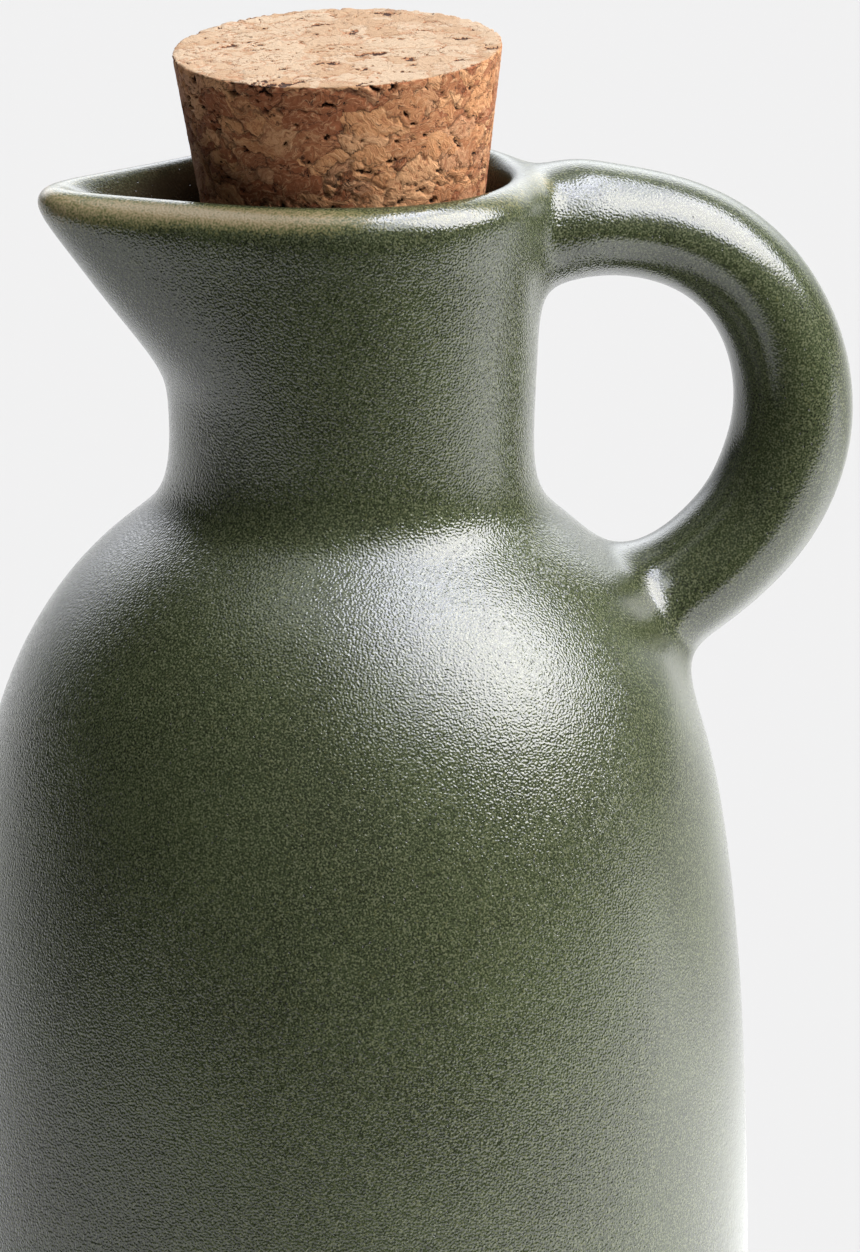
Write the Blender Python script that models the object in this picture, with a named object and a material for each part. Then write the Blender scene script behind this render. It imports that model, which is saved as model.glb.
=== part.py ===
"""A stoneware oil bottle: a round body with a pinched pouring lip and a loop handle, shut by a tapered cork.

Units are metres and +Z is up. The origin is the centre of the flat base. The pouring lip points to -X and
the handle to +X. The glazed bottle is one fired piece, so it is one solid: a coarse cage with a Subdivision
Surface modifier. The cage is made of turned rows of points. At each end of the handle a square patch of
faces is left out, and its border is bridged to the handle's rings. Under the cork the body is solid.
"""

import math

import bmesh
import bpy
from mathutils import Matrix, Vector

MM = 0.001

# --- the bottle's driving dimensions, in millimetres ---------------------------------------------
HEIGHT = 180.0
RIM_RADIUS = 21.3
WALL = 4.8
BORE_RADIUS = 15.3
BORE_DEPTH = 26.0
BORE_CORNER = 1.0
BASE_RADIUS = 37.5

# Outer wall, from the rounded foot to the rim: height above the base and radius.
FOOT_ROWS = ((0.0, BASE_RADIUS), (0.9, 39.6), (4.0, 41.6), (11.0, 43.3))
BELLY_ROWS = ((24.0, 44.65), (40.0, 45.15), (57.0, 45.1), (73.0, 44.6), (87.5, 43.85), (99.5, 42.65))
SHOULDER_ROWS = (
    (109.0, 41.2), (116.5, 39.5), (123.2, 37.2), (127.0, 35.4), (130.3, 33.5), (133.6, 31.2), (137.0, 28.2),
)
NECK_ROWS = (
    (139.8, 25.0), (142.0, 22.2), (144.4, 20.6), (148.0, 19.9), (153.2, 20.0), (157.2, 20.15), (161.0, 20.3),
)
COLLAR_ROWS = ((165.6, 20.5), (169.0, 20.65), (172.4, 20.8), (175.8, 21.0), (178.7, RIM_RADIUS))

# Lip, from the rim inwards: depth below the rim and distance in from the rim's outer edge.
LIP_ROWS = ((-0.25, 0.9), (-0.25, 3.3), (0.9, WALL - 0.3))
# Mouth, going down: depth below the rim, radius, and reach of the pouring lip's channel.
MOUTH_ROWS = ((3.6, 16.35, 31.0), (8.0, 15.9, 25.5), (12.5, 15.45, 19.0), (16.5, BORE_RADIUS, BORE_RADIUS))

# --- the pouring lip ---------------------------------------------------------------------------------
TIP_REACH = 36.4
TIP_RADIUS = 6.2
CHANNEL_TIP_RADIUS = 1.4
SPOUT_ROOT = 155.4
SPOUT_BEND = 2.2
SPOUT_BULGE = 1.15
SPOUT_DROOP = 0.65
DROOP_START = 2.0
DROOP_END = 17.0
TIP_CROWDING = 0.05

# --- the handle --------------------------------------------------------------------------------------
# Centre line in the XZ plane, from the neck round to the shoulder, then the handle's half thickness there.
HANDLE_PATH = (
    (24.4, 173.8, 6.7), (29.0, 173.5, 6.05), (34.0, 172.6, 5.9), (39.0, 170.7, 5.95), (43.4, 167.5, 6.05),
    (46.9, 163.0, 6.2), (49.4, 157.0, 6.5), (50.0, 150.0, 6.75), (48.4, 144.0, 6.75), (45.8, 139.0, 6.5),
    (42.0, 135.0, 6.35), (37.8, 131.8, 6.3),
)
HANDLE_WIDENING = 1.06
# Each joint is an oval on the wall: height of its centre, half its height and half its width.
UPPER_JOINT = (172.7, 7.1, 7.7)
LOWER_JOINT = (129.9, 6.2, 7.5)
# The row at each joint's centre, counted in COLLAR_ROWS and in SHOULDER_ROWS.
UPPER_JOINT_ROW = 2
LOWER_JOINT_ROW = 4
# Columns are drawn together near the lower joint, where the wall is wide: share, width in radians, reach.
JOINT_PINCH = 0.50
JOINT_PINCH_WIDTH = 0.80
JOINT_PINCH_REACH = 17.0

# --- the cage ----------------------------------------------------------------------------------------
COLUMNS = 32
# Half the width of a handle joint's square patch, in faces.
PATCH = 2
HANDLE_SIDES = 8 * PATCH
CAP_SHARE = 0.88
SUBDIVISION = 1

# --- the cork ----------------------------------------------------------------------------------------
CORK_TOP_RADIUS = 17.95
CORK_LENGTH = 30.0
CORK_TAPER = 0.146
CORK_PROUD = 13.9
CORK_LEAN_LEFT = 2.8
CORK_LEAN_FORWARD = 1.0
CORK_SEAT_DEPTH = 12.0
CORK_SEAT_SHIFT = 0.75
CORK_EDGE = 0.25
CORK_SEGMENTS = 64

GLAZE_GREEN = (0.075, 0.100, 0.045, 1.0)
CORK_TAN = (0.48, 0.27, 0.13, 1.0)


def clear_scene():
    """Removes every object that the startup file holds."""
    for old in list(bpy.data.objects):
        bpy.data.objects.remove(old, do_unlink=True)


def material(name, colour, roughness):
    """A plain Principled material of one colour."""
    made = bpy.data.materials.new(name)
    made.use_nodes = True
    shader = made.node_tree.nodes["Principled BSDF"]
    shader.inputs["Base Color"].default_value = colour
    shader.inputs["Roughness"].default_value = roughness
    shader.inputs["Metallic"].default_value = 0.0
    return made


def limit_share(sides):
    """Radius of the smooth surface through a ring of this many cage points, as a share of the ring's own."""
    return (4 + 2 * math.cos(2 * math.pi / sides)) / 6


def soft_ramp(value, bend):
    """Zero below the bend and value above it, with a round corner between."""
    if value <= -bend:
        return 0.0
    if value >= bend:
        return value
    return (value + bend) ** 2 / (4 * bend)


# --- plan outline of the pouring lip -----------------------------------------------------------------
def teardrop_point(share, radius, tip_radius, reach):
    """Point on a teardrop outline, share 0 at its tip and 1 a quarter turn round the circle from it.

    The outline is a circle of the given radius, a small circle at the tip, and the straight line that touches
    both. The answer is (distance towards the tip, distance to the side), in millimetres.
    """
    centre = reach - tip_radius
    touch = math.acos((radius - tip_radius) / centre)
    straight = math.sqrt(centre**2 - (radius - tip_radius) ** 2)
    tip_arc = tip_radius * touch
    side_arc = radius * (math.pi / 2 - touch)
    crowded = share - TIP_CROWDING * math.sin(2 * math.pi * share)
    run = crowded * (tip_arc + straight + side_arc)
    if run <= tip_arc:
        turn = run / tip_radius
        return centre + tip_radius * math.cos(turn), tip_radius * math.sin(turn)
    if run <= tip_arc + straight:
        along = (run - tip_arc) / straight
        start = (centre + tip_radius * math.cos(touch), tip_radius * math.sin(touch))
        end = (radius * math.cos(touch), radius * math.sin(touch))
        return start[0] + along * (end[0] - start[0]), start[1] + along * (end[1] - start[1])
    turn = touch + (run - tip_arc - straight) / radius
    return radius * math.cos(turn), radius * math.sin(turn)


def nose_offset(column, radius, tip_radius, reach):
    """How far the pouring lip moves a column's point away from the plain circle, as (x, y)."""
    angle = 2 * math.pi * column / COLUMNS
    from_tip = abs(math.pi - angle)
    if from_tip >= math.pi / 2 or reach <= radius + 0.01:
        return 0.0, 0.0
    ahead, aside = teardrop_point(from_tip / (math.pi / 2), radius, tip_radius, reach)
    side = 1.0 if angle < math.pi else -1.0
    return -ahead - radius * math.cos(angle), side * aside - radius * math.sin(angle)


def outer_nose(height):
    """Share of the pouring lip's full reach that the outer wall has at this height."""
    start = SPOUT_ROOT + SPOUT_BEND
    share = min(1.0, soft_ramp(height - start, SPOUT_BEND) / (HEIGHT - start))
    return 1 - (1 - share) ** SPOUT_BULGE


def drooped(point, depth):
    """The point lowered where it lies under the pouring lip, less so the deeper it is below the rim."""
    ahead = (-point.x / MM - DROOP_START) / (DROOP_END - DROOP_START)
    share = min(1.0, max(0.0, ahead))
    share = share * share * (3 - 2 * share) * max(0.0, 1 - depth / (HEIGHT - SPOUT_ROOT))
    return point - Vector((0, 0, SPOUT_DROOP * share)) * MM


# --- rows of the cage --------------------------------------------------------------------------------
def pinched_angle(column, height):
    """A column's angle, drawn in towards the handle's plane near the lower joint."""
    angle = 2 * math.pi * column / COLUMNS
    if angle > math.pi:
        angle -= 2 * math.pi
    near = math.exp(-(((height - LOWER_JOINT[0]) / JOINT_PINCH_REACH) ** 2))
    pinch = JOINT_PINCH * near * math.exp(-((angle / JOINT_PINCH_WIDTH) ** 2))
    return angle * (1 - pinch)


def outer_row(height, radius):
    """One row of the outer wall."""
    grow = 1 / limit_share(COLUMNS)
    share = outer_nose(height)
    points = []
    for column in range(COLUMNS):
        angle = pinched_angle(column, height)
        dx, dy = nose_offset(column, RIM_RADIUS, TIP_RADIUS, TIP_REACH)
        x = radius * grow * math.cos(angle) + share * dx
        y = radius * grow * math.sin(angle) + share * dy
        points.append(drooped(Vector((x, y, height)) * MM, HEIGHT - height))
    return points


def lip_row(depth, inset):
    """One row over the top of the lip, set in from the rim's outer edge by the same distance all round."""
    return inner_row(depth, RIM_RADIUS - inset, TIP_REACH - inset, TIP_RADIUS - inset)


def inner_row(depth, radius, reach, tip_radius=CHANNEL_TIP_RADIUS):
    """One row of the lip's top or of the mouth, at a depth below the rim."""
    grow = 1 / limit_share(COLUMNS)
    points = []
    for column in range(COLUMNS):
        angle = 2 * math.pi * column / COLUMNS
        dx, dy = nose_offset(column, radius, tip_radius, reach)
        x = radius * grow * math.cos(angle) + dx
        y = radius * grow * math.sin(angle) + dy
        points.append(drooped(Vector((x, y, HEIGHT - depth)) * MM, depth))
    return points


def flat_row(height, radius):
    """One plain round row, for the base and the bottom of the bore."""
    return [
        Vector((radius * math.cos(angle), radius * math.sin(angle), height)) * MM
        for angle in (2 * math.pi * column / COLUMNS for column in range(COLUMNS))
    ]


def bottle_rows():
    """Every row of the cage from the middle of the base, up the wall, over the lip and down the bore."""
    wall = FOOT_ROWS + BELLY_ROWS + SHOULDER_ROWS + NECK_ROWS + COLLAR_ROWS
    floor = HEIGHT - BORE_DEPTH
    rows = [flat_row(0.0, BASE_RADIUS * CAP_SHARE)]
    rows += [outer_row(height, radius) for height, radius in wall]
    rows += [lip_row(*row) for row in LIP_ROWS]
    rows += [inner_row(*row) for row in MOUTH_ROWS]
    rows += [flat_row(floor + BORE_CORNER, BORE_RADIUS)]
    rows += [flat_row(floor, BORE_RADIUS - BORE_CORNER), flat_row(floor, BORE_RADIUS * CAP_SHARE**2)]
    return rows


# --- the handle's joints -----------------------------------------------------------------------------
def patch_steps():
    """Row and column offsets round a patch's border, from its outer side and on towards +Y."""
    side = range(-PATCH, PATCH)
    border = [(PATCH, step) for step in side]
    border += [(-step, PATCH) for step in side]
    border += [(-PATCH, -step) for step in side]
    border += [(step, -PATCH) for step in side]
    start = border.index((PATCH, 0))
    return border[start:] + border[:start]


def wall_radius(height):
    """Radius of the turned wall at a height, read along the straight runs between its rows."""
    wall = SHOULDER_ROWS + NECK_ROWS + COLLAR_ROWS
    for (low, low_radius), (high, high_radius) in zip(wall, wall[1:]):
        if low <= height <= high:
            return low_radius + (high_radius - low_radius) * (height - low) / (high - low)
    return wall[-1][1]


def place_joint(rows, centre_row, joint, outwards):
    """Moves a patch's border onto an oval on the wall, and gives its (row, column) pairs in order."""
    middle, half_height, half_width = joint
    grow = 1 / limit_share(COLUMNS)
    border = []
    for step, (up, across) in enumerate(patch_steps()):
        turn = 2 * math.pi * step / HANDLE_SIDES
        height = middle + outwards * half_height * math.cos(turn)
        radius = wall_radius(height) * grow
        angle = half_width * math.sin(turn) / radius
        row, column = centre_row + outwards * up, across % COLUMNS
        rows[row][column] = Vector((radius * math.cos(angle), radius * math.sin(angle), height)) * MM
        border.append((row, column))
    return border


def handle_rings():
    """The handle's rings of points along its centre line."""
    grow = 1 / limit_share(HANDLE_SIDES)
    rings = []
    last = len(HANDLE_PATH) - 1
    for index, (x, z, half) in enumerate(HANDLE_PATH):
        before = HANDLE_PATH[max(index - 1, 0)]
        after = HANDLE_PATH[min(index + 1, last)]
        along = Vector((after[0] - before[0], 0, after[1] - before[1])).normalized()
        outer = Vector((-along.z, 0, along.x))
        ring = []
        for step in range(HANDLE_SIDES):
            turn = 2 * math.pi * step / HANDLE_SIDES
            offset = outer * half * math.cos(turn) + Vector((0, half * HANDLE_WIDENING * math.sin(turn), 0))
            ring.append((Vector((x, 0, z)) + offset * grow) * MM)
        rings.append(ring)
    return rings


# --- building ----------------------------------------------------------------------------------------
def build_bottle(glaze):
    """The bottle's cage with its handle, smoothed by subdivision."""
    rows = bottle_rows()
    below_shoulder = 1 + len(FOOT_ROWS + BELLY_ROWS)
    lower_row = below_shoulder + LOWER_JOINT_ROW
    upper_row = below_shoulder + len(SHOULDER_ROWS + NECK_ROWS) + UPPER_JOINT_ROW
    upper = place_joint(rows, upper_row, UPPER_JOINT, 1)
    lower = place_joint(rows, lower_row, LOWER_JOINT, -1)

    mesh = bmesh.new()
    grid = [[mesh.verts.new(point) for point in row] for row in rows]
    holes = {
        (centre + up, across % COLUMNS)
        for centre in (lower_row, upper_row)
        for up in range(-PATCH, PATCH)
        for across in range(-PATCH, PATCH)
    }
    for row in range(len(grid) - 1):
        for column in range(COLUMNS):
            if (row, column) in holes:
                continue
            after = (column + 1) % COLUMNS
            mesh.faces.new((grid[row][column], grid[row][after], grid[row + 1][after], grid[row + 1][column]))
    for edge_row in (grid[0], grid[-1]):
        centre = mesh.verts.new(sum((vert.co for vert in edge_row), Vector()) / COLUMNS)
        for column in range(COLUMNS):
            mesh.faces.new((edge_row[column], edge_row[(column + 1) % COLUMNS], centre))

    rings = [[grid[row][column] for row, column in upper]]
    rings += [[mesh.verts.new(point) for point in ring] for ring in handle_rings()]
    rings += [[grid[row][column] for row, column in lower]]
    for ring, following in zip(rings, rings[1:]):
        for step in range(HANDLE_SIDES):
            after = (step + 1) % HANDLE_SIDES
            mesh.faces.new((ring[step], ring[after], following[after], following[step]))
    loose = [vert for vert in mesh.verts if not vert.link_faces]
    bmesh.ops.delete(mesh, geom=loose, context="VERTS")
    bmesh.ops.recalc_face_normals(mesh, faces=mesh.faces)
    bottle = finish_object(mesh, "bottle", glaze)
    smooth = bottle.modifiers.new("Smooth", "SUBSURF")
    smooth.levels = SUBDIVISION
    smooth.render_levels = SUBDIVISION
    return bottle


def build_cork(cork_material):
    """The tapered stopper, leaning a little in the mouth."""
    mesh = bmesh.new()
    bottom_radius = CORK_TOP_RADIUS - CORK_TAPER * CORK_LENGTH
    bmesh.ops.create_cone(
        mesh,
        cap_ends=True,
        segments=CORK_SEGMENTS,
        radius1=bottom_radius * MM,
        radius2=CORK_TOP_RADIUS * MM,
        depth=CORK_LENGTH * MM,
        matrix=Matrix.Translation((0, 0, (CORK_SEAT_DEPTH + CORK_PROUD - CORK_LENGTH / 2) * MM)),
    )
    rims = [edge for edge in mesh.edges if any(len(face.verts) > 4 for face in edge.link_faces)]
    bmesh.ops.bevel(mesh, geom=rims, offset=CORK_EDGE * MM, segments=2, profile=0.5, affect="EDGES")
    bmesh.ops.recalc_face_normals(mesh, faces=mesh.faces)
    cork = finish_object(mesh, "cork_stopper", cork_material)
    lean = Matrix.Rotation(math.radians(-CORK_LEAN_LEFT), 4, "Y")
    lean = Matrix.Rotation(math.radians(CORK_LEAN_FORWARD), 4, "X") @ lean
    seat = Vector((-CORK_SEAT_SHIFT, 0, HEIGHT - CORK_SEAT_DEPTH)) * MM
    cork.matrix_world = Matrix.Translation(seat) @ lean
    return cork


def finish_object(mesh, name, its_material):
    """Turns a bmesh into a named, smooth-shaded object with one material."""
    data = bpy.data.meshes.new(name)
    mesh.to_mesh(data)
    mesh.free()
    data.shade_smooth()
    data.materials.append(its_material)
    made = bpy.data.objects.new(name, data)
    bpy.context.scene.collection.objects.link(made)
    return made


def main():
    """Builds the bottle and its cork."""
    clear_scene()
    build_bottle(material("green_glaze", GLAZE_GREEN, 0.35))
    cork = build_cork(material("cork", CORK_TAN, 0.85))
    cork.data.set_sharp_from_angle(angle=math.radians(35))


main()
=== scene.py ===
"""A glazed stoneware oil bottle with a pinched pouring lip, a loop handle and a cork of pressed granules.

Lengths are millimetres where a name ends in _mm or a dataclass says so, and metres in Blender. The frame
is the CAD model's: origin at the centre of the base, +Z up, pouring lip to -X, handle to +X.
"""
import logging
import math
from dataclasses import dataclass
from enum import Enum
from typing import Any, Optional, Union

import bmesh
import bpy
import numpy as np
from mathutils import Matrix, Vector


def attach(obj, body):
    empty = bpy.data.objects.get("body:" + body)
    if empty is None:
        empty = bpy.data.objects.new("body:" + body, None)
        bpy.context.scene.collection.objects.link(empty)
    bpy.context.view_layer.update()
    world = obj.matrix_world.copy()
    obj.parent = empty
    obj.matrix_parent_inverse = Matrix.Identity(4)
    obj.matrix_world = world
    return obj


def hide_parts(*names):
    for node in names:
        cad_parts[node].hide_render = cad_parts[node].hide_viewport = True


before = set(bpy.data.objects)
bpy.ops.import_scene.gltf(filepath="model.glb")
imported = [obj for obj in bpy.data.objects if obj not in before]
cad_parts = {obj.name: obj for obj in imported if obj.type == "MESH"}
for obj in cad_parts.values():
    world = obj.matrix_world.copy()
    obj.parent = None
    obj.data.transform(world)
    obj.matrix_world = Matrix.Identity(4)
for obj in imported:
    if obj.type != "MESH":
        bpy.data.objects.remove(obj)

logging.basicConfig(level=logging.INFO, format="%(message)s")
LOG = logging.getLogger("oil_bottle")

MM = 0.001
IMAGE_WIDTH = 860
IMAGE_HEIGHT = 1252

Colour = tuple[float, float, float, float]
Pair = tuple[float, float]
Triple = tuple[float, float, float]
Rows = tuple[tuple[float, ...], ...]
Points = list[Vector]


# ---------------------------------------------------------------------------------------------------
# Shader writing
# ---------------------------------------------------------------------------------------------------
class Wire:
    """One output socket of a node tree, with arithmetic on numbers."""

    def __init__(self, graph: "Graph", socket: Optional[bpy.types.NodeSocket]) -> None:
        """Wraps a socket.

        Args:
            graph: The tree that the socket belongs to.
            socket: The output socket, or None for a node that has none.
        """
        self.graph = graph
        self.socket = socket

    def _math(self, operation: str, *values: Any) -> "Wire":
        """Adds one Math node."""
        inputs = dict(enumerate(values))
        return self.graph.node("ShaderNodeMath", {"operation": operation}, inputs)

    def __add__(self, other: Any) -> "Wire":
        """Sum."""
        return self._math("ADD", self, other)

    __radd__ = __add__

    def __sub__(self, other: Any) -> "Wire":
        """Difference."""
        return self._math("SUBTRACT", self, other)

    def __rsub__(self, other: Any) -> "Wire":
        """Difference with this wire second."""
        return self._math("SUBTRACT", other, self)

    def __mul__(self, other: Any) -> "Wire":
        """Product."""
        return self._math("MULTIPLY", self, other)

    __rmul__ = __mul__

    def __truediv__(self, other: Any) -> "Wire":
        """Quotient."""
        return self._math("DIVIDE", self, other)

    def __rtruediv__(self, other: Any) -> "Wire":
        """Quotient with this wire below the line."""
        return self._math("DIVIDE", other, self)

    def clamp(self) -> "Wire":
        """The number kept between 0 and 1."""
        return self.graph.node("ShaderNodeClamp", {}, {"Value": self})

    def smooth(self, low: float, high: float) -> "Wire":
        """A smooth step from 0 to 1.

        Args:
            low: Value that gives 0, which may be the larger of the two.
            high: Value that gives 1.

        Returns:
            The number between 0 and 1.
        """
        ends = {"From Min": low, "From Max": high, "To Min": 0.0, "To Max": 1.0}
        settings = {"interpolation_type": "SMOOTHSTEP"}
        return self.graph.node("ShaderNodeMapRange", settings, {"Value": self, **ends})

    def larger(self, other: Any) -> "Wire":
        """The larger of two numbers."""
        return self._math("MAXIMUM", self, other)

    def size(self) -> "Wire":
        """The number without its sign."""
        return self.graph.node("ShaderNodeMath", {"operation": "ABSOLUTE"}, {0: self})

    def folded(self, bands: float) -> "Wire":
        """The number folded up and down between 0 and 1, so many times for each unit."""
        return self._math("PINGPONG", self * bands, 0.5) * 2


class Graph:
    """A node tree being written: nodes are added by type, settings and inputs."""

    def __init__(self, tree: bpy.types.NodeTree) -> None:
        """Empties a tree and keeps it.

        Args:
            tree: The tree to write into.
        """
        tree.nodes.clear()
        self.tree = tree

    def node(
        self,
        kind: str,
        settings: Optional[dict[str, Any]] = None,
        inputs: Optional[dict[Any, Any]] = None,
        output: Union[int, str] = 0,
    ) -> Wire:
        """Adds a node.

        Args:
            kind: The node's type name.
            settings: Properties, which are set before the sockets.
            inputs: Socket name or number to a value or a wire.
            output: Name or number of the socket that is given back.

        Returns:
            The chosen output.
        """
        made = self.tree.nodes.new(kind)
        for name, value in (settings or {}).items():
            setattr(made, name, value)
        for name, value in (inputs or {}).items():
            if isinstance(value, Wire):
                self.tree.links.new(value.socket, made.inputs[name])
            else:
                made.inputs[name].default_value = value
        if isinstance(output, str):
            return Wire(self, made.outputs[output])
        shown = [socket for socket in made.outputs if socket.enabled]
        return Wire(self, shown[output] if shown else None)

    def position(self) -> Wire:
        """Object coordinates, in metres."""
        return self.node("ShaderNodeTexCoord", {}, {}, "Object")

    def attribute(self, name: str, output: str = "Fac") -> Wire:
        """A number, or with the output Vector a place, that is stored on the mesh."""
        return self.node("ShaderNodeAttribute", {"attribute_name": name}, {}, output)

    def fractal(
        self, where: Wire, size_mm: float, detail: float = 2.0, roughness: float = 0.5, twist: float = 0.0
    ) -> Wire:
        """Fractal noise between 0 and 1.

        Args:
            where: The coordinates, in metres.
            size_mm: Size of its largest features.
            detail: Octaves added.
            roughness: Strength of each further octave.
            twist: Distortion.

        Returns:
            The noise value.
        """
        values = {"Vector": where, "Scale": 1 / (size_mm * MM), "Detail": detail}
        values.update({"Roughness": roughness, "Distortion": twist})
        return self.node("ShaderNodeTexNoise", {}, values, "Fac")

    def colour_noise(self, where: Wire, scale: float) -> Wire:
        """Three noises at once, as a colour, with so many features for each metre."""
        values = {"Vector": where, "Scale": scale, "Detail": 2.0}
        return self.node("ShaderNodeTexNoise", {}, values, "Color")

    def cells(
        self, where: Wire, size_mm: float, feature: str = "F1", output: str = "Distance"
    ) -> Wire:
        """Voronoi cells.

        Args:
            where: The coordinates, in metres.
            size_mm: Size of a cell.
            feature: The Voronoi feature.
            output: The socket that is given back.

        Returns:
            The chosen output.
        """
        values = {"Vector": where, "Scale": 1 / (size_mm * MM)}
        return self.node("ShaderNodeTexVoronoi", {"feature": feature}, values, output)

    def blend(self, share: Any, first: Any, second: Any) -> Wire:
        """Mixes two colours.

        Args:
            share: Share of the second, 0 to 1.
            first: Colour or wire.
            second: Colour or wire.

        Returns:
            The mixed colour.
        """
        return self.node("ShaderNodeMix", {"data_type": "RGBA"}, {0: share, 6: first, 7: second})

    def part(self, vector: Wire, axis: str) -> Wire:
        """One part, X, Y or Z, of a vector or colour."""
        return self.node("ShaderNodeSeparateXYZ", {}, {0: vector}, axis)

    def along(self, vector: Wire, towards: Vector) -> Wire:
        """The part of a vector along a direction."""
        settings = {"operation": "DOT_PRODUCT"}
        return self.node("ShaderNodeVectorMath", settings, {0: vector, 1: tuple(towards)}, "Value")

    def stretch(self, where: Wire, scale: Triple) -> Wire:
        """Coordinates multiplied axis by axis."""
        return self.node("ShaderNodeVectorMath", {"operation": "MULTIPLY"}, {0: where, 1: scale})

    def shifted(self, where: Wire, push: Wire, distance_mm: float) -> Wire:
        """Coordinates pushed about by a colour or vector between 0 and 1.

        Args:
            where: The coordinates, in metres.
            push: The vector that moves them, 0.5 meaning no move.
            distance_mm: How far a full step moves them.

        Returns:
            The moved coordinates.
        """
        kind = "ShaderNodeVectorMath"
        centred = self.node(kind, {"operation": "SUBTRACT"}, {0: push, 1: (0.5, 0.5, 0.5)})
        scaled = self.node(kind, {"operation": "SCALE"}, {0: centred, "Scale": distance_mm * MM})
        return self.node(kind, {"operation": "ADD"}, {0: where, 1: scaled})

    def bump(self, height: Wire, depth_mm: float) -> Wire:
        """The normal of a fine relief, from its height between 0 and 1 and the depth that 1 stands for."""
        values = {"Height": height, "Distance": depth_mm * MM, "Strength": 1.0}
        return self.node("ShaderNodeBump", {}, values)

    def surface(self, shader: Wire) -> None:
        """Ends a material's tree with its shader."""
        self.node("ShaderNodeOutputMaterial", {}, {"Surface": shader})


def new_material(name: str) -> tuple[bpy.types.Material, Graph]:
    """A material with an empty tree.

    Args:
        name: The material's name.

    Returns:
        The material and its graph.
    """
    made = bpy.data.materials.new(name)
    made.use_nodes = True
    return made, Graph(made.node_tree)


@dataclass(frozen=True)
class Fade:
    """A soft change of something over a range: none of it at the start, its full share at the end."""

    start: float
    end: float
    share: float = 1.0

    def of(self, value: Wire) -> Wire:
        """How much of the change a shader value has gone through.

        Args:
            value: The value that runs over the range.

        Returns:
            A number between 0 and the full share.
        """
        gone = value.smooth(self.start, self.end)
        return gone if self.share == 1.0 else gone * self.share

    def over(self, values: np.ndarray) -> np.ndarray:
        """How much of the change each number of an array has gone through.

        Args:
            values: The numbers.

        Returns:
            One number between 0 and the full share for each.
        """
        gone = np.clip((values - self.start) / (self.end - self.start), 0.0, 1.0)
        return self.share * (gone * gone * (3 - 2 * gone))


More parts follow.
